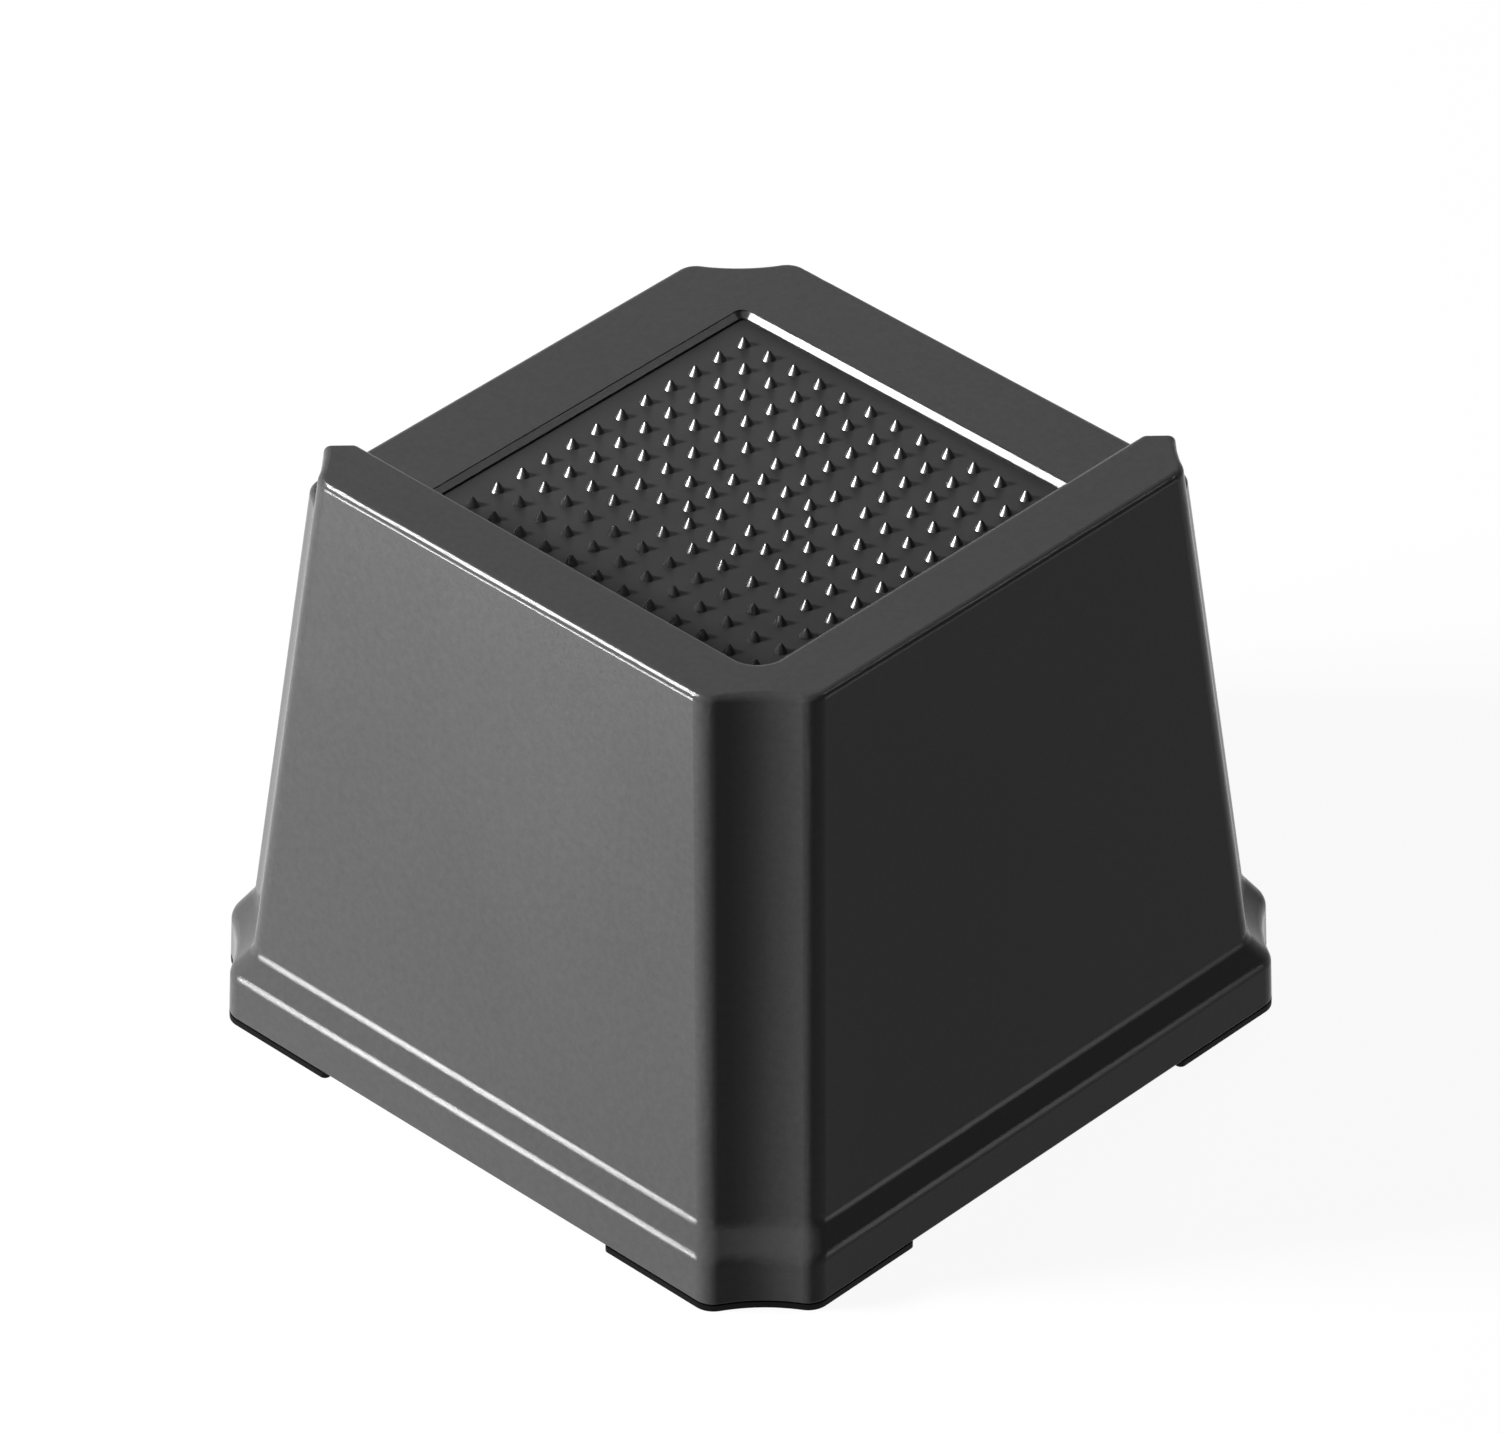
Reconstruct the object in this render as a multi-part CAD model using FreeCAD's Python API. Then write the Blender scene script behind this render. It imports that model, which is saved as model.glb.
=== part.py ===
"""Bed riser: a moulded block that lifts a bed leg, with a spiked grip mat and four rubber feet.

Frame: millimetres, +Z up, origin on the floor under the middle of the base.
The raised guard runs along the -X and -Y sides, so it is the same on both sides of the plane x = y.
"""
import FreeCAD, Part
import math
import os

V = FreeCAD.Vector

# Outer body, measured across the flats
base_width = 109.4
band_lean = 0.2
skirt_step = 2.3
rim_width = 91.7

# Heights above the floor
foot_thickness = 0.9
band_top_height = 7.9
skirt_top_height = 11.5
rim_height = 77.6
guard_rise = 10.6

# Hollowed corner bands
scallop_offset = 10.0
scallop_depth = 1.1
scallop_edge_radius = 3.2

# Guard along two sides, cut off just past the diagonal between the two end corners
guard_overrun = 1.0
guard_draft = 2.0
guard_inner_radius = 4.0
guard_end_radius = 0.6

# Square seat for the leg, with a bevelled mouth and the grip mat in its floor
rim_ledge = 13.35
seat_ledge = 2.4
seat_corner_radius = 0.9
seat_depth = 1.05
seat_lip = 0.2
seat_bevel = 0.7
mat_thickness = 1.2
mat_clearance = 0.15

# Rounded edges
base_edge_radius = 0.4
skirt_crease_radius = 2.5
guard_top_radius = 1.0
rim_radius = 0.9
guard_foot_radius = 0.5

# Spikes of the mat, in square rings from the outside in
spike_sides = 8
spike_base_radius = 0.95
spike_tip_radius = 0.25
spike_height = 1.7
spike_margin = 4.6
outer_ring_count = 13
full_ring_total = 5
inner_full_ring_half = 10.7
open_ring_half = 6.95
open_ring_pitch = 4.2
centre_ring_half = 2.6

# Hollow underside
wall_thickness = 2.8
deck_thickness = 3.0
rib_thickness = 2.6
rib_lift = 3.0
post_chamfer = 22.0

# Rubber feet, each held by a peg in the corner post
foot_edge_margin = 0.6
foot_end_radius = 0.8
peg_radius = 2.6
peg_length = 4.5
peg_clearance = 0.1
peg_end_gap = 0.6

band_top_width = base_width - 2 * band_lean
skirt_top_width = band_top_width - 2 * skirt_step
seat_width = rim_width - 2 * rim_ledge
guard_top_height = rim_height + guard_rise
guard_foot_half = seat_width / 2 + seat_ledge
seat_floor_height = rim_height - seat_depth
mat_floor_height = seat_floor_height - mat_thickness
cavity_top_height = mat_floor_height - deck_thickness
outer_ring_half = seat_width / 2 - spike_margin
ring_step = (outer_ring_half - inner_full_ring_half) / (full_ring_total - 1)
CORNER_TURNS = {"front": 180.0, "right": 270.0, "back": 0.0, "left": 90.0}
OVERCUT = 1.0
CLOSE = 1e-3


def outer_half(height):
    """Half width of the drafted wall, carried straight through the skirt and up to the guard's top."""
    slope = (skirt_top_width - rim_width) / 2 / (rim_height - skirt_top_height)
    return rim_width / 2 + (rim_height - height) * slope


def corner_arcs(half):
    """Points of one corner, from the side x = half round to the side y = half.

    Three arcs follow one another: a rounded edge, the hollow and a second rounded edge.
    """
    chord_half = scallop_offset / math.sqrt(2)
    hollow_radius = (chord_half ** 2 + scallop_depth ** 2) / (2 * scallop_depth)
    chord_middle = half - scallop_offset / 2
    deepest = chord_middle - scallop_depth / math.sqrt(2)
    hollow_centre = V(deepest, deepest, 0) + V(1, 1, 0).normalize() * hollow_radius
    reach = hollow_radius + scallop_edge_radius
    round_x = half - scallop_edge_radius
    round_y = hollow_centre.y - math.sqrt(reach ** 2 - (hollow_centre.x - round_x) ** 2)
    round_centre = V(round_x, round_y, 0)
    towards_hollow = (hollow_centre - round_centre).normalize()
    first = V(half, round_y, 0)
    bisector = (V(1, 0, 0) + towards_hollow).normalize()
    first_middle = round_centre + bisector * scallop_edge_radius
    joint = round_centre + towards_hollow * scallop_edge_radius
    half_corner = [first, first_middle, joint]
    mirrored = [V(point.y, point.x, 0) for point in reversed(half_corner)]
    return half_corner + [V(deepest, deepest, 0)] + mirrored


def outline(half, height):
    """Closed outline of the body at a height: four straight sides and four hollowed corners."""
    corners = []
    for turn in range(4):
        rotation = FreeCAD.Rotation(V(0, 0, 1), 90.0 * turn)
        points = [rotation.multVec(point) + V(0, 0, height) for point in corner_arcs(half)]
        corners.append(points)
    edges = []
    for index, points in enumerate(corners):
        for start in (0, 2, 4):
            edges.append(Part.Arc(points[start], points[start + 1], points[start + 2]).toShape())
        following = corners[(index + 1) % 4][0]
        edges.append(Part.LineSegment(points[6], following).toShape())
    return Part.Wire(edges)


def rounded_square(half, radius, height, rise):
    """Upright solid with a square plan and rounded corners."""
    solid = Part.makeBox(2 * half, 2 * half, rise, V(-half, -half, height))
    upright = [edge for edge in solid.Edges if edge.BoundBox.ZLength > rise / 2]
    return solid.makeFillet(radius, upright)


def edges_where(shape, test):
    """Edges of a shape whose middle point passes a test."""
    chosen = []
    for edge in shape.Edges:
        middle = edge.valueAt((edge.FirstParameter + edge.LastParameter) / 2)
        if test(edge, middle):
            chosen.append(edge)
    return chosen


def is_level(edge, height):
    """True for an edge that lies in the level plane at a height."""
    box = edge.BoundBox
    return abs(box.ZMin - height) < CLOSE and abs(box.ZMax - height) < CLOSE


def prismoid(lower, upper):
    """Solid with flat sides between two level outlines that have the same number of points."""
    loops = [lower[::-1], upper]
    for index, point in enumerate(lower):
        loops.append([lower[index - 1], point, upper[index], upper[index - 1]])
    faces = [Part.Face(Part.makePolygon(loop + loop[:1])) for loop in loops]
    return Part.makeSolid(Part.makeShell(faces))


def make_block():
    """Outer form up to the guard's top, before anything is cut from it."""
    levels = [
        (base_width / 2, foot_thickness),
        (band_top_width / 2, band_top_height),
        (skirt_top_width / 2, skirt_top_height),
        (outer_half(guard_top_height), guard_top_height),
    ]
    block = Part.makeLoft([outline(half, height) for half, height in levels], True, True)
    creases = edges_where(block, lambda edge, middle: (
        is_level(edge, band_top_height) or is_level(edge, skirt_top_height)))
    block = block.makeFillet(skirt_crease_radius, creases)
    base = edges_where(block, lambda edge, middle: is_level(edge, foot_thickness))
    block = block.makeFillet(base_edge_radius, base)
    top = edges_where(block, lambda edge, middle: is_level(edge, guard_top_height))
    return block.makeFillet(guard_top_radius, top)


def make_guard_inside():
    """Space within and above the guard, whose two inner faces lean outwards and meet in a rounded corner."""
    rise = guard_rise + OVERCUT
    lean = rise * math.tan(math.radians(guard_draft))
    far = base_width
    sections = []
    for level, near in ((rim_height, -guard_foot_half), (rim_height + rise, -guard_foot_half - lean)):
        sections.append([
            V(near, near, level), V(far, near, level), V(far, far, level), V(near, far, level),
        ])
    space = prismoid(*sections)
    corner = edges_where(space, lambda edge, middle: (
        middle.x < 0 and middle.y < 0 and edge.BoundBox.ZLength > rise / 2))
    space = space.makeFillet(guard_inner_radius, corner)
    foot = edges_where(space, lambda edge, middle: (
        is_level(edge, rim_height) and min(middle.x, middle.y) < -guard_foot_half / 2))
    space = space.makeFillet(guard_foot_radius, foot)
    above = Part.makeBox(2 * far, 2 * far, OVERCUT, V(-far, -far, guard_top_height))
    space = space.fuse(above).removeSplitter()
    brow = edges_where(space, lambda edge, middle: (
        is_level(edge, guard_top_height) and max(abs(middle.x), abs(middle.y)) < far - OVERCUT))
    return space.makeFillet(guard_top_radius, brow)


def make_free_half():
    """Everything above the rim beyond the diagonal on which the guard ends."""
    reach = base_width
    points = [V(-reach, reach, rim_height), V(reach, -reach, rim_height), V(reach, reach, rim_height)]
    triangle = Part.Face(Part.makePolygon(points + points[:1]))
    triangle.translate(V(1, 1, 0).normalize() * guard_overrun)
    return triangle.extrude(V(0, 0, guard_rise + OVERCUT))


def make_seat():
    """Space of the seat: a pocket for the mat under a short upright lip and a bevel."""
    mouth_floor = rim_height - seat_lip - seat_bevel
    mouth = rounded_square(seat_width / 2 + seat_bevel, seat_corner_radius + seat_bevel, mouth_floor,
                           seat_lip + seat_bevel + OVERCUT)
    brink = edges_where(mouth, lambda edge, middle: is_level(edge, mouth_floor))
    mouth = mouth.makeChamfer(seat_bevel, brink)
    pocket = rounded_square(seat_width / 2, seat_corner_radius, mat_floor_height, seat_depth + mat_thickness)
    return mouth.fuse(pocket)


def make_shell_form():
    """Block with its guard, rim and seat, and with the edges rounded."""
    form = make_block().cut(make_guard_inside()).cut(make_free_half())
    end_line = guard_overrun * math.sqrt(2)
    rim = edges_where(form, lambda edge, middle: (
        is_level(edge, rim_height) and middle.x + middle.y > end_line + CLOSE
        and max(middle.x, middle.y) > guard_foot_half))
    form = form.makeFillet(rim_radius, rim)
    ends = edges_where(form, lambda edge, middle: (
        abs(middle.x + middle.y - end_line) < CLOSE and middle.z > rim_height + rim_radius))
    form = form.makeFillet(guard_end_radius, ends)
    return form.cut(make_seat())


def make_cavity():
    """Space under the deck, with chamfered corners that leave a solid post at each corner."""
    sections = []
    for height in (foot_thickness - OVERCUT, cavity_top_height):
        half = outer_half(height) - wall_thickness
        cut = half - post_chamfer
        sections.append([
            V(half, -cut, height), V(half, cut, height), V(cut, half, height), V(-cut, half, height),
            V(-half, cut, height), V(-half, -cut, height), V(-cut, -half, height), V(cut, -half, height),
        ])
    cavity = prismoid(*sections)
    rib_foot = foot_thickness + rib_lift
    for along_x in (True, False):
        size = V(base_width, rib_thickness, 0) if along_x else V(rib_thickness, base_width, 0)
        rib = Part.makeBox(size.x, size.y, cavity_top_height, V(-size.x / 2, -size.y / 2, rib_foot))
        cavity = cavity.cut(rib)
    return cavity


def post_line():
    """Sum of x and y along the inner face of a corner post, where it meets the base."""
    return 2 * (outer_half(foot_thickness) - wall_thickness) - post_chamfer


def peg_place(turn):
    """Axis of a corner's peg on the floor, in the middle of its post."""
    hollow = base_width - scallop_offset - scallop_depth * math.sqrt(2)
    middle = (post_line() + hollow) / 4
    return FreeCAD.Rotation(V(0, 0, 1), turn).multVec(V(middle, middle, 0))


def make_body():
    """The moulded block: shell, guard, deck, ribs and corner posts in one piece."""
    body = make_shell_form().cut(make_cavity())
    for turn in CORNER_TURNS.values():
        place = peg_place(turn) + V(0, 0, foot_thickness)
        body = body.cut(Part.makeCylinder(peg_radius + peg_clearance, peg_length + peg_end_gap, place))
    return body


def make_foot(turn):
    """Rubber pad under one corner post, flush with the base outline, with the peg that holds it."""
    slab = Part.Face(outline(base_width / 2, 0)).extrude(V(0, 0, foot_thickness))
    near = post_line() + foot_edge_margin
    far = base_width
    points = [V(near - far, far, 0), V(far, near - far, 0), V(far, far, 0)]
    corner = Part.Face(Part.makePolygon(points + points[:1]))
    pad = slab.common(corner.extrude(V(0, 0, foot_thickness)))
    ends = edges_where(pad, lambda edge, middle: (
        edge.BoundBox.ZLength > foot_thickness / 2 and abs(middle.x + middle.y - near) < CLOSE))
    pad = pad.makeFillet(foot_end_radius, ends)
    pad = pad.fuse(Part.makeCylinder(peg_radius, foot_thickness + peg_length, peg_place(0)))
    pad.rotate(V(0, 0, 0), V(0, 0, 1), turn)
    return pad


def spike_places():
    """Centres of the spikes: full square rings, then an open ring without corners, then four."""
    places = []
    for ring in range(full_ring_total):
        half = outer_ring_half - ring * ring_step
        steps = outer_ring_count - 1 - 2 * ring
        for step in range(steps):
            along = -half + 2 * half * step / steps
            places += [(along, -half), (half, along), (-along, half), (-half, -along)]
    for along in (-open_ring_pitch, 0.0, open_ring_pitch):
        half = open_ring_half
        places += [(along, -half), (half, along), (-along, half), (-half, -along)]
    half = centre_ring_half
    return places + [(half, half), (-half, half), (-half, -half), (half, -half)]


def make_spike():
    """One tapered spike standing on the origin."""
    sections = []
    for radius, height in ((spike_base_radius, 0.0), (spike_tip_radius, spike_height)):
        points = []
        for side in range(spike_sides):
            angle = 2 * math.pi * side / spike_sides
            points.append(V(radius * math.cos(angle), radius * math.sin(angle), height))
        sections.append(points)
    return prismoid(*sections)


def make_mat():
    """Soft mat in the seat's floor, with a spike at each place."""
    half = seat_width / 2 - mat_clearance
    plate = rounded_square(half, seat_corner_radius - mat_clearance, mat_floor_height, mat_thickness)
    pattern = make_spike()
    spikes = []
    for x, y in spike_places():
        spike = pattern.copy()
        spike.translate(V(x, y, seat_floor_height))
        spikes.append(spike)
    return plate.fuse(spikes)


def main():
    """Write one solid per piece."""
    os.makedirs("parts", exist_ok=True)
    pieces = {"riser_body": make_body(), "grip_mat": make_mat()}
    for corner, turn in CORNER_TURNS.items():
        pieces[f"foot_{corner}"] = make_foot(turn)
    for name, shape in pieces.items():
        solid = shape.Solids[0] if len(shape.Solids) == 1 else shape
        solid.exportStep(f"parts/{name}.step")
        print(name, len(shape.Solids), shape.isValid(), round(solid.Volume / 1000, 3), "cm3")


main()
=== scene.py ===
"""Looks of a bed riser: a moulded block with a spiked grip mat and rubber feet, in studio light."""

import logging
import math
from dataclasses import dataclass
from enum import Enum
from typing import Any, Callable, Optional, Union

import bpy
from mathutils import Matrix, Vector

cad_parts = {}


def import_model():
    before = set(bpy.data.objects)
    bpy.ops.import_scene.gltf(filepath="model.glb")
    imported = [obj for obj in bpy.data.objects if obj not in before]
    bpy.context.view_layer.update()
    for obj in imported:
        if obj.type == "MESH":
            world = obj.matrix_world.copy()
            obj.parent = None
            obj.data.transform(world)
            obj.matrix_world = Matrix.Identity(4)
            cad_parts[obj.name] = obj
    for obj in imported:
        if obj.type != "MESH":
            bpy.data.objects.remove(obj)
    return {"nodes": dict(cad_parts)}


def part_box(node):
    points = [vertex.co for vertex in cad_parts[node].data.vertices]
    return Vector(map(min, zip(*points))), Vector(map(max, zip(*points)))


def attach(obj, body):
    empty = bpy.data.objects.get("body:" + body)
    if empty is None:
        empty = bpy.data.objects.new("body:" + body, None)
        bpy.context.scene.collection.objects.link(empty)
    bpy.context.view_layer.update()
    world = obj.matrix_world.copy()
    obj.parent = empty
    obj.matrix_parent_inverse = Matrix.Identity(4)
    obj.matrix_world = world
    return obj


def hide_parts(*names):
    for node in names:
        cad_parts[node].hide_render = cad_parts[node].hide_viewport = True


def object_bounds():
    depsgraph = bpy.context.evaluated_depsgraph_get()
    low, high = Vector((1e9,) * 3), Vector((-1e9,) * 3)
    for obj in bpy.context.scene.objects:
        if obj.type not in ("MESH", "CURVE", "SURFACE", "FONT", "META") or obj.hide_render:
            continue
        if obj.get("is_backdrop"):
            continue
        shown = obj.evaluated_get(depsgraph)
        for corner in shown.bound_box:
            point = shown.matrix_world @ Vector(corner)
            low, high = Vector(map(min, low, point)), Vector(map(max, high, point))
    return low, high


LOG = logging.getLogger("bed_riser")
MM = 0.001
TINY = 1e-6
ROOT = "root"
IMAGE_WIDTH = 1500
NOISE_MIDDLE = 0.5
MIX_AMOUNT, MIX_LOW, MIX_HIGH, MIX_COLOUR = 0, 6, 7, 2

Colour = tuple[float, float, float]


class Slot(Enum):
    """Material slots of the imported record."""

    BODY = "body_plastic"
    MAT = "mat_rubber"
    FOOT = "foot_rubber"


class Corner(Enum):
    """Corners of the base that carry a foot."""

    FRONT = "foot_front"
    RIGHT = "foot_right"
    BACK = "foot_back"
    LEFT = "foot_left"


class Signal:
    """A shader socket that takes part in sums."""

    def __init__(self, graph: "ShaderGraph", socket: bpy.types.NodeSocket) -> None:
        """Keep the socket and the graph it belongs to."""
        self.graph = graph
        self.socket = socket

    def _math(self, operation: str, first: Any, second: Any) -> "Signal":
        """Add one Math node.

        Args:
            operation: Name of the node's operation.
            first: Value or signal on the first socket.
            second: Value or signal on the second socket.

        Returns:
            The node's result.
        """
        return self.graph.node("ShaderNodeMath", {"operation": operation}, {0: first, 1: second})

    def __add__(self, other: Any) -> "Signal":
        """Sum of the two."""
        return self._math("ADD", self, other)

    def __radd__(self, other: Any) -> "Signal":
        """Sum of the two."""
        return self._math("ADD", other, self)

    def __sub__(self, other: Any) -> "Signal":
        """Difference of the two."""
        return self._math("SUBTRACT", self, other)

    def __mul__(self, other: Any) -> "Signal":
        """Product of the two."""
        return self._math("MULTIPLY", self, other)

    def __or__(self, other: Any) -> "Signal":
        """The larger of the two."""
        return self._math("MAXIMUM", self, other)


class ShaderGraph:
    """Node tree of one material or of the world."""

    def __init__(self, owner: Union[bpy.types.Material, bpy.types.World], output: str) -> None:
        """Empty the owner's node tree and give it an output node.

        Args:
            owner: Material or world that holds the tree.
            output: Type of its output node.
        """
        self.owner = owner
        owner.use_nodes = True
        self.tree = owner.node_tree
        self.tree.nodes.clear()
        self.output = self.tree.nodes.new(output)

    @classmethod
    def of_material(cls, name: str) -> "ShaderGraph":
        """Graph of a new material."""
        return cls(bpy.data.materials.new(name), "ShaderNodeOutputMaterial")

    @classmethod
    def of_world(cls, name: str) -> "ShaderGraph":
        """Graph of a new world."""
        return cls(bpy.data.worlds.new(name), "ShaderNodeOutputWorld")

    def node(
        self,
        kind: str,
        settings: Optional[dict[str, Any]] = None,
        inputs: Optional[dict[Union[str, int], Any]] = None,
        result: Union[str, int] = 0,
    ) -> Signal:
        """Add a node of any type.

        Args:
            kind: Type of the node.
            settings: Its own settings; a list of (place, grey) pairs under "stops" fills a ramp.
            inputs: Values or signals for its sockets.
            result: Name or number of the output that is wanted.

        Returns:
            That output as a signal.
        """
        made = self.tree.nodes.new(kind)
        for key, value in (settings or {}).items():
            if key == "stops":
                self._fill_ramp(made, value)
            else:
                setattr(made, key, value)
        for key, value in (inputs or {}).items():
            if isinstance(value, Signal):
                self.tree.links.new(value.socket, made.inputs[key])
            else:
                made.inputs[key].default_value = value
        return Signal(self, made.outputs[result])

    @staticmethod
    def _fill_ramp(node: bpy.types.Node, stops: list[tuple[float, float]]) -> None:
        """Set a grey ramp's stops, given as (place, grey) pairs."""
        elements = node.color_ramp.elements
        while len(elements) < len(stops):
            elements.new(1.0)
        for element, (place, grey) in zip(elements, stops):
            element.position = place
            element.color = (grey, grey, grey, 1.0)

    def place(self) -> Signal:
        """Object coordinates, which are metres in the part's frame."""
        return self.node("ShaderNodeTexCoord", result="Object")

    def noise(self, scale: float, detail: float = 2.0, roughness: float = 0.5) -> Signal:
        """Noise over the surface.

        Args:
            scale: Cells per metre.
            detail: Finer layers added to it.
            roughness: Share of those layers.

        Returns:
            Value from 0 to 1.
        """
        inputs = {"Vector": self.place(), "Scale": scale, "Detail": detail, "Roughness": roughness}
        return self.node("ShaderNodeTexNoise", None, inputs, "Fac")

    def ramp(self, value: Signal, stops: list[tuple[float, float]]) -> Signal:
        """Value sent through a grey ramp."""
        return self.node("ShaderNodeValToRGB", {"stops": stops}, {"Fac": value})

    def blend(self, amount: Signal, low: Colour, high: Colour) -> Signal:
        """Colour between two others.

        Args:
            amount: Share of the second colour.
            low: First colour.
            high: Second colour.

        Returns:
            The mixed colour.
        """
        inputs = {MIX_AMOUNT: amount, MIX_LOW: (*low, 1.0), MIX_HIGH: (*high, 1.0)}
        return self.node("ShaderNodeMix", {"data_type": "RGBA"}, inputs, MIX_COLOUR)

    def seen(self) -> Signal:
        """1 for what the camera sees, straight or in a reflection, and 0 for plain light."""
        rays = [self.node("ShaderNodeLightPath", None, None, name)
                for name in ("Is Camera Ray", "Is Glossy Ray", "Is Transmission Ray")]
        return rays[0] | rays[1] | rays[2]

    def finish(self, surface: Signal) -> Union[bpy.types.Material, bpy.types.World]:
        """Send a shader to the output and hand over the material or world."""
        self.tree.links.new(surface.socket, self.output.inputs["Surface"])
        return self.owner


@dataclass(frozen=True)
class GrainedPlastic:
    """Satin moulded plastic with a fine spark-eroded grain, a coarser mottle and faint flow marks.

    The shares say how much each of the three counts in the colour, and the polish values how far
    they move the roughness. The grain's depth is in metres.
    """

    name: str
    colour: Colour
    roughness: float
    specular: float
    grain_per_metre: float
    grain_depth: float
    mottle_per_metre: float = 910.0
    flow_per_metre: float = 22.0
    shade_swing: float = 0.30
    grain_share: float = 0.35
    mottle_share: float = 0.5
    flow_share: float = 0.15
    relief: float = 0.18
    mottle_relief: float = 0.4
    grain_polish: float = 0.12
    flow_polish: float = 0.08

    def material(self) -> bpy.types.Material:
        """Build the shader.

        Returns:
            The material.
        """
        graph = ShaderGraph.of_material(self.name)
        grain = graph.noise(self.grain_per_metre, 3.0, 0.6)
        flow = graph.noise(self.flow_per_metre, 3.0, 0.5)
        mottle = graph.noise(self.mottle_per_metre, 2.0, 0.6)
        shade = tuple((1.0 - self.shade_swing) * channel for channel in self.colour)
        light = tuple((1.0 + self.shade_swing) * channel for channel in self.colour)
        tone = grain * self.grain_share + mottle * self.mottle_share + flow * self.flow_share
        polish = (
            self.roughness
            + (grain - NOISE_MIDDLE) * self.grain_polish
            + (flow - NOISE_MIDDLE) * self.flow_polish)
        normal = graph.node("ShaderNodeBump", None, {
            "Strength": self.relief,
            "Distance": self.grain_depth,
            "Height": grain + mottle * self.mottle_relief,
        }, "Normal")
        surface = graph.node("ShaderNodeBsdfPrincipled", None, {
            "Base Color": graph.blend(tone, shade, light),
            "Roughness": polish,
            "Specular IOR Level": self.specular,
            "Normal": normal,
        })
        return graph.finish(surface)


@dataclass(frozen=True)
class MouldedRubber:
    """Dark rubber with a soft bloom in patches and a slight unevenness.

    The bloom is the grey added where it is full, and it starts and is full at two values of the
    patches' noise. The relief's depth is in metres.
    """

    name: str
    colour: Colour
    roughness: float
    specular: float
    bloom: float
    fine_per_metre: float = 2600.0
    patches_per_metre: float = 160.0
    bloom_start: float = 0.35
    bloom_full: float = 0.75
    relief: float = 0.3
    relief_depth: float = 0.02 * MM
    fine_polish: float = 0.1

    def material(self) -> bpy.types.Material:
        """Build the shader.

        Returns:
            The material.
        """
        graph = ShaderGraph.of_material(self.name)
        fine = graph.noise(self.fine_per_metre, 2.0, 0.55)
        patches = graph.ramp(
            graph.noise(self.patches_per_metre, 3.0, 0.5),
            [(self.bloom_start, 0.0), (self.bloom_full, 1.0)])
        bloomed = tuple(channel + self.bloom for channel in self.colour)
        normal = graph.node("ShaderNodeBump", None, {
            "Strength": self.relief,
            "Distance": self.relief_depth,
            "Height": fine,
        }, "Normal")
        surface = graph.node("ShaderNodeBsdfPrincipled", None, {
            "Base Color": graph.blend(patches, self.colour, bloomed),
            "Roughness": self.roughness + (fine - NOISE_MIDDLE) * self.fine_polish,
            "Specular IOR Level": self.specular,
            "Normal": normal,
        })
        return graph.finish(surface)


@dataclass(frozen=True)
class PaleFloor:
    """Matt studio floor, lifted to white where it is seen, with the riser's shadow on it."""

    colour: Colour
    lift: float

    def material(self) -> bpy.types.Material:
        """Build the shader.

        Returns:
            The material.
        """
        graph = ShaderGraph.of_material("studio_floor")
        matt = graph.node("ShaderNodeBsdfDiffuse", None, {"Color": (*self.colour, 1.0)})
        glow = graph.node("ShaderNodeEmission", None, {"Strength": graph.seen() * self.lift})
        return graph.finish(graph.node("ShaderNodeAddShader", None, {0: matt, 1: glow}))


FINISHES = {
    Slot.BODY: GrainedPlastic(
        "charcoal_grained_plastic", (0.085, 0.085, 0.086), 0.19, 0.105, 2600.0, 0.012 * MM),
    Slot.MAT: MouldedRubber("charcoal_mat_rubber", (0.053, 0.053, 0.054), 0.36, 0.10, 0.010),
    Slot.FOOT: MouldedRubber("black_foot_rubber", (0.003, 0.003, 0.003), 0.60, 0.10, 0.002),
}
FLOOR_FINISH = PaleFloor((0.12, 0.12, 0.12), 0.93)


class Bench:
    """Small helpers for modelling with operators, as by hand."""

    @staticmethod
    def clear() -> None:
        """Deselect everything."""
        bpy.ops.object.select_all(action="DESELECT")

    @staticmethod
    def pick(piece: bpy.types.Object) -> None:
        """Make one piece the only selected and active one."""
        Bench.clear()
        piece.select_set(True)
        bpy.context.view_layer.objects.active = piece

    @staticmethod
    def settle(piece: bpy.types.Object) -> None:
        """Put a piece's place, turn and scale into its mesh."""
        Bench.pick(piece)
        bpy.ops.object.transform_apply(location=True, rotation=True, scale=True)

    @staticmethod
    def select_edges(piece: bpy.types.Object, test: Callable[[Vector, Vector], bool]) -> None:
        """Select the edges whose two ends pass a test, and leave the piece in edit mode.

        Args:
            piece: The piece to work on.
            test: Takes the edge's two ends.
        """
        Bench.pick(piece)
        bpy.ops.object.mode_set(mode="EDIT")
        bpy.ops.mesh.select_mode(type="EDGE")
        bpy.ops.mesh.select_all(action="DESELECT")
        bpy.ops.object.mode_set(mode="OBJECT")
        points = piece.data.vertices
        for edge in piece.data.edges:
            edge.select = test(points[edge.vertices[0]].co, points[edge.vertices[1]].co)
        bpy.ops.object.mode_set(mode="EDIT")

    @staticmethod
    def smooth(piece: bpy.types.Object, degrees: float) -> None:
        """Shade smooth, with sharp edges past an angle."""
        Bench.pick(piece)
        bpy.ops.object.shade_smooth_by_angle(angle=math.radians(degrees))

    @staticmethod
    def dress(piece: bpy.types.Object, material: bpy.types.Material) -> None:
        """Give a piece one material all over."""
        piece.data.materials.clear()
        piece.data.materials.append(material)


@dataclass
class PackedPiece:
    """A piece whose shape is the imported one."""

    node: bpy.types.Object

    def build(self, finish: bpy.types.Material) -> bpy.types.Object:
        """Dress the piece.

        Args:
            finish: Its material.

        Returns:
            The dressed node.
        """
        for slot in self.node.material_slots:
            slot.material = finish
        return self.node


class RiserBody(PackedPiece):
    """The moulded block, with its skirt, guard, leg seat, deck and ribs."""


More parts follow.
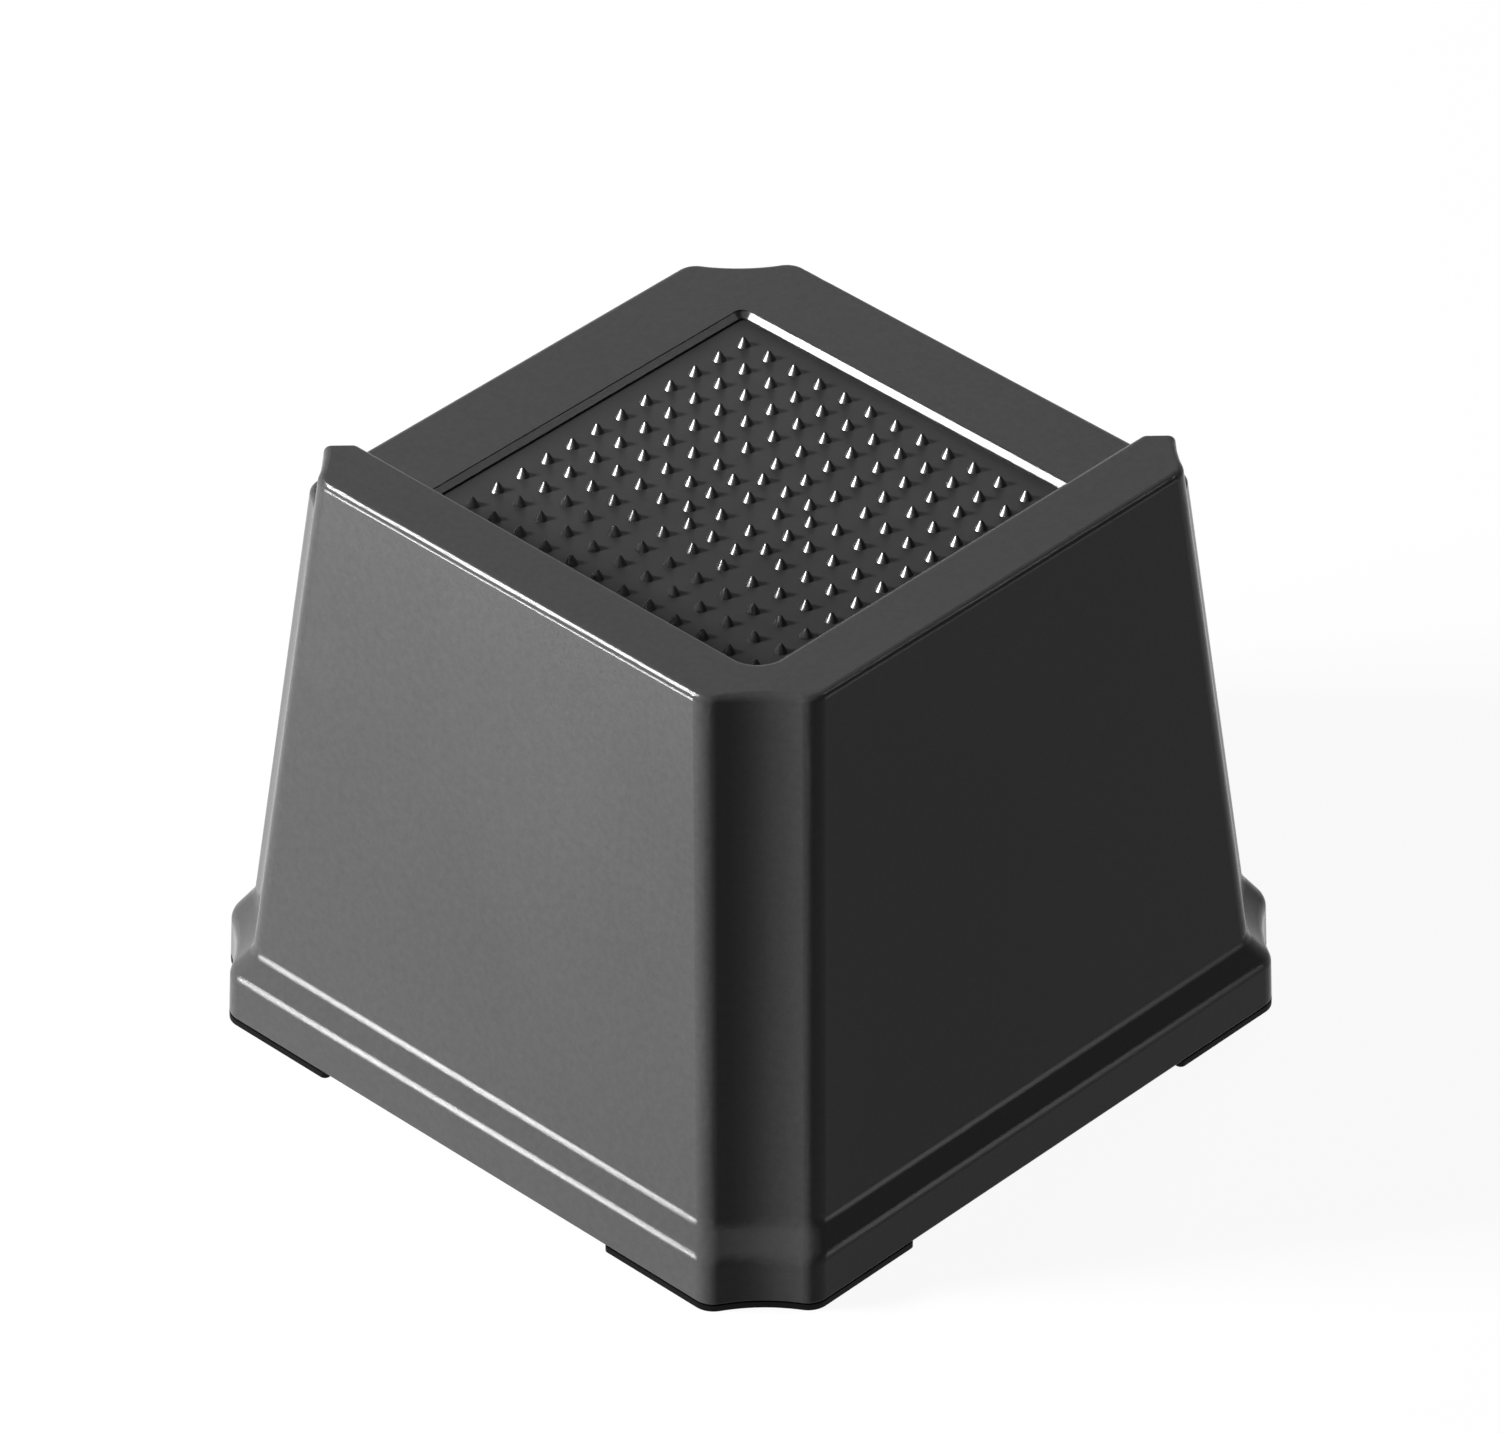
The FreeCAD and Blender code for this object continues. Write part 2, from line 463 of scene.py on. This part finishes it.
class RubberFoot(PackedPiece):
    """One of the thin pads under the corners, with its peg."""


@dataclass
class GripMat:
    """The seat's soft floor: a thin plate and round-tipped spikes in square rings.

    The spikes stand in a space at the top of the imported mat's box, and don't fill it. The halves
    are half widths of rings, and the smoothing angles are in degrees.
    """

    low: Vector
    high: Vector
    spike_space: float = 1.7 * MM
    spike_height: float = 1.35 * MM
    spike_base_radius: float = 0.92 * MM
    spike_tip_radius: float = 0.16 * MM
    spike_sides: int = 14
    spike_smoothing: float = 60.0
    tip_rounding: float = 0.75
    tip_segments: int = 3
    corner_radius: float = 0.75 * MM
    corner_segments: int = 5
    edge_radius: float = 0.20 * MM
    edge_segments: int = 3
    plate_smoothing: float = 40.0
    margin: float = 4.45 * MM
    outer_count: int = 13
    ring_total: int = 5
    inner_ring_half: float = 10.7 * MM
    open_ring_half: float = 6.95 * MM
    open_ring_pitch: float = 4.2 * MM
    centre_ring_half: float = 2.6 * MM

    @property
    def floor_height(self) -> float:
        """Height of the plate's top, where the spikes stand."""
        return self.high.z - self.spike_space

    def spike_places(self) -> list[tuple[float, float]]:
        """Centres of the spikes.

        Returns:
            Points of the full rings, of an open ring without corners and of the four in the middle.
        """
        outer_half = self.high.x - self.margin
        step = (outer_half - self.inner_ring_half) / (self.ring_total - 1)
        places: list[tuple[float, float]] = []
        for ring in range(self.ring_total):
            half = outer_half - ring * step
            gaps = self.outer_count - 1 - 2 * ring
            for gap in range(gaps):
                along = -half + 2 * half * gap / gaps
                places += [(along, -half), (half, along), (-along, half), (-half, -along)]
        for along in (-self.open_ring_pitch, 0.0, self.open_ring_pitch):
            half = self.open_ring_half
            places += [(along, -half), (half, along), (-along, half), (-half, -along)]
        half = self.centre_ring_half
        return places + [(half, half), (-half, half), (-half, -half), (half, -half)]

    def make_plate(self) -> bpy.types.Object:
        """Model the plate.

        Returns:
            A slab with rounded corners and a softened upper edge.
        """
        width, depth = self.high.x - self.low.x, self.high.y - self.low.y
        size = Vector((width, depth, self.floor_height - self.low.z))
        centre = Vector((0.0, 0.0, self.low.z + size.z / 2))
        Bench.clear()
        bpy.ops.mesh.primitive_cube_add(size=1.0, location=centre, scale=size)
        plate = bpy.context.active_object
        plate.name = "grip_mat_plate"
        Bench.settle(plate)
        Bench.select_edges(plate, lambda a, b: abs(a.z - b.z) > size.z / 2)
        bpy.ops.mesh.bevel(offset=self.corner_radius, segments=self.corner_segments, affect="EDGES")
        bpy.ops.object.mode_set(mode="OBJECT")
        top = self.floor_height - TINY
        Bench.select_edges(plate, lambda a, b: a.z > top and b.z > top)
        bpy.ops.mesh.bevel(offset=self.edge_radius, segments=self.edge_segments, affect="EDGES")
        bpy.ops.object.mode_set(mode="OBJECT")
        Bench.smooth(plate, self.plate_smoothing)
        return plate

    def make_spike(self) -> bpy.types.Object:
        """Model one spike at the origin.

        Returns:
            A tapered spike with a rounded tip.
        """
        Bench.clear()
        bpy.ops.mesh.primitive_cone_add(
            vertices=self.spike_sides, radius1=self.spike_base_radius,
            radius2=self.spike_tip_radius, depth=self.spike_height,
            location=(0.0, 0.0, self.spike_height / 2))
        spike = bpy.context.active_object
        spike.name = "grip_mat_spike"
        Bench.settle(spike)
        top = self.spike_height - TINY
        Bench.select_edges(spike, lambda a, b: a.z > top and b.z > top)
        rounding = self.spike_tip_radius * self.tip_rounding
        bpy.ops.mesh.bevel(offset=rounding, segments=self.tip_segments, affect="EDGES")
        bpy.ops.object.mode_set(mode="OBJECT")
        Bench.smooth(spike, self.spike_smoothing)
        return spike

    def make_spikes(self) -> bpy.types.Object:
        """Model one spike, copy it to every place and join the copies.

        Returns:
            All the spikes as one piece.
        """
        pattern = self.make_spike()
        copies = []
        for x, y in self.spike_places():
            copy = bpy.data.objects.new("grip_mat_spikes", pattern.data.copy())
            bpy.context.scene.collection.objects.link(copy)
            copy.location = (x, y, self.floor_height)
            copies.append(copy)
        bpy.data.objects.remove(pattern)
        Bench.clear()
        for copy in copies:
            copy.select_set(True)
        bpy.context.view_layer.objects.active = copies[0]
        bpy.ops.object.join()
        spikes = bpy.context.active_object
        spikes.name = "grip_mat_spikes"
        Bench.settle(spikes)
        return spikes

    def build(self, finish: bpy.types.Material) -> list[bpy.types.Object]:
        """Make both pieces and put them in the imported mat's place.

        Args:
            finish: Their rubber.

        Returns:
            The plate and the spikes.
        """
        pieces = [self.make_plate(), self.make_spikes()]
        for piece in pieces:
            Bench.dress(piece, finish)
            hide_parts("grip_mat")
            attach(piece, ROOT)
        return pieces


class Reach(Enum):
    """What a lamp gives: plain light to the whole scene, or a gloss to some of the pieces."""

    SCENE = "scene"
    BODY_GLOSS = "body_gloss"
    SPIKE_GLOSS = "spike_gloss"


@dataclass(frozen=True)
class LitPieces:
    """The riser's pieces, in the groups that lamps are kept for."""

    receivers: dict[Reach, bpy.types.Collection]
    blockers: bpy.types.Collection

    @classmethod
    def gather(
        cls, body: bpy.types.Object, mat: list[bpy.types.Object], feet: list[bpy.types.Object],
    ) -> "LitPieces":
        """Make the groups.

        Args:
            body: The block.
            mat: The mat's plate and its spikes.
            feet: The four pads.

        Returns:
            The groups, in which the riser alone casts shadows.
        """
        sets = {Reach.BODY_GLOSS: [body], Reach.SPIKE_GLOSS: mat[1:]}
        return cls(
            {reach: cls._group(reach.value, pieces) for reach, pieces in sets.items()},
            cls._group("riser_shadow", [body, *mat, *feet]))

    @staticmethod
    def _group(name: str, pieces: list[bpy.types.Object]) -> bpy.types.Collection:
        """Put pieces in a new collection."""
        group = bpy.data.collections.new(name)
        for piece in pieces:
            group.objects.link(piece)
        return group


@dataclass(frozen=True)
class SoftBox:
    """A rectangular studio lamp aimed at the riser.

    A lamp for the whole scene gives plain light and isn't mirrored. A lamp kept for some pieces
    shows only in their gloss, as bright lines along rounded edges.
    """

    name: str
    place: tuple[float, float, float]
    width: float
    height: float
    watts: float
    reach: Reach = Reach.SCENE

    def build(self, aim: Vector, pieces: LitPieces) -> None:
        """Put the lamp in the scene.

        Args:
            aim: Point that it faces.
            pieces: The riser's pieces, for a lamp that is kept for some of them.
        """
        data = bpy.data.lights.new(self.name, "AREA")
        data.shape = "RECTANGLE"
        data.size = self.width
        data.size_y = self.height
        data.energy = self.watts
        lamp = bpy.data.objects.new(self.name, data)
        bpy.context.scene.collection.objects.link(lamp)
        lamp.location = self.place
        lamp.rotation_euler = (aim - Vector(self.place)).to_track_quat("-Z", "Y").to_euler()
        lamp.visible_glossy = self.reach is not Reach.SCENE
        if self.reach is not Reach.SCENE:
            lamp.visible_diffuse = False
            lamp.light_linking.receiver_collection = pieces.receivers[self.reach]
            lamp.light_linking.blocker_collection = pieces.blockers


@dataclass
class Studio:
    """Floor, surroundings, lamps and the camera.

    The keys light the -X side and the top, and the fill lights the +X side. The edge lamps draw
    the bright lines along the skirt's creases, the guard, the seat's mouth and the spikes.
    """

    aim: Vector
    pieces: LitPieces
    eye: tuple[float, float, float] = (-0.8448, -0.8100, 0.9071)
    focal_pixels: float = 11000.0
    sensor: float = 36.0
    nearest: float = 0.01
    farthest: float = 50.0
    floor_half: float = 6.0
    surround: float = 0.05

    LAMPS = (
        SoftBox("low_key", (-1.10, 0.74, 0.08), 0.16, 0.12, 18.5),
        SoftBox("high_key", (-0.74, 0.67, 0.73), 0.25, 0.25, 12.5),
        SoftBox("back_fill", (1.10, 0.35, 0.45), 0.50, 0.50, 2.6),
        SoftBox("low_edge", (-1.12, 0.745, -0.20), 0.12, 0.44, 31.0, Reach.BODY_GLOSS),
        SoftBox("high_edge", (-0.60, 0.65, 0.87), 0.12, 0.44, 38.0, Reach.BODY_GLOSS),
        SoftBox("top_edge", (-0.25, 0.666, 1.02), 0.34, 0.34, 44.0, Reach.BODY_GLOSS),
        SoftBox("spike_edge", (-1.05, 0.70, 0.47), 0.24, 0.24, 900.0, Reach.SPIKE_GLOSS),
        SoftBox("low_fill_edge", (0.745, -1.12, -0.20), 0.12, 0.44, 1.5, Reach.BODY_GLOSS),
        SoftBox("high_fill_edge", (0.666, -0.62, 0.84), 0.12, 0.50, 1.5, Reach.BODY_GLOSS),
    )

    def make_floor(self) -> None:
        """Lay the floor under the riser."""
        Bench.clear()
        bpy.ops.mesh.primitive_plane_add(size=2 * self.floor_half, location=(0.0, 0.0, 0.0))
        floor = bpy.context.active_object
        floor.name = "studio_floor"
        Bench.dress(floor, FLOOR_FINISH.material())
        floor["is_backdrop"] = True

    def make_world(self) -> None:
        """Light the surroundings evenly, white where they are seen."""
        graph = ShaderGraph.of_world("studio_surround")
        glow = graph.node("ShaderNodeBackground", None, {"Strength": graph.seen() | self.surround})
        bpy.context.scene.world = graph.finish(glow)

    def make_camera(self) -> None:
        """Stand the camera before the guard's corner, looking down on the riser."""
        data = bpy.data.cameras.new("studio_camera")
        data.sensor_fit = "HORIZONTAL"
        data.sensor_width = self.sensor
        data.lens = self.sensor * self.focal_pixels / IMAGE_WIDTH
        data.clip_start = self.nearest
        data.clip_end = self.farthest
        camera = bpy.data.objects.new("studio_camera", data)
        bpy.context.scene.collection.objects.link(camera)
        camera.location = self.eye
        camera.rotation_euler = (self.aim - Vector(self.eye)).to_track_quat("-Z", "Y").to_euler()
        bpy.context.scene.camera = camera

    def build(self) -> None:
        """Set up the floor, the surroundings, the lamps and the camera."""
        self.make_floor()
        self.make_world()
        for lamp in self.LAMPS:
            lamp.build(self.aim, self.pieces)
        self.make_camera()


def main() -> None:
    """Build the riser's pieces in order and set the studio around them."""
    logging.basicConfig(level=logging.INFO, format="%(name)s: %(message)s")
    bpy.context.scene.view_settings.view_transform = "Standard"
    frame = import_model()
    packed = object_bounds()
    nodes = frame["nodes"]
    Bench.clear()

    materials = {slot: finish.material() for slot, finish in FINISHES.items()}
    body = RiserBody(nodes["riser_body"]).build(materials[Slot.BODY])
    mat = GripMat(*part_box("grip_mat")).build(materials[Slot.MAT])
    feet = [RubberFoot(nodes[corner.value]).build(materials[Slot.FOOT]) for corner in Corner]
    for piece in [body, *mat, *feet]:
        LOG.info("%s: %d faces", piece.name, len(piece.data.polygons))

    low, high = packed
    Studio(Vector((0.0, 0.0, (low.z + high.z) / 2)), LitPieces.gather(body, mat, feet)).build()


if __name__ == "__main__":
    main()
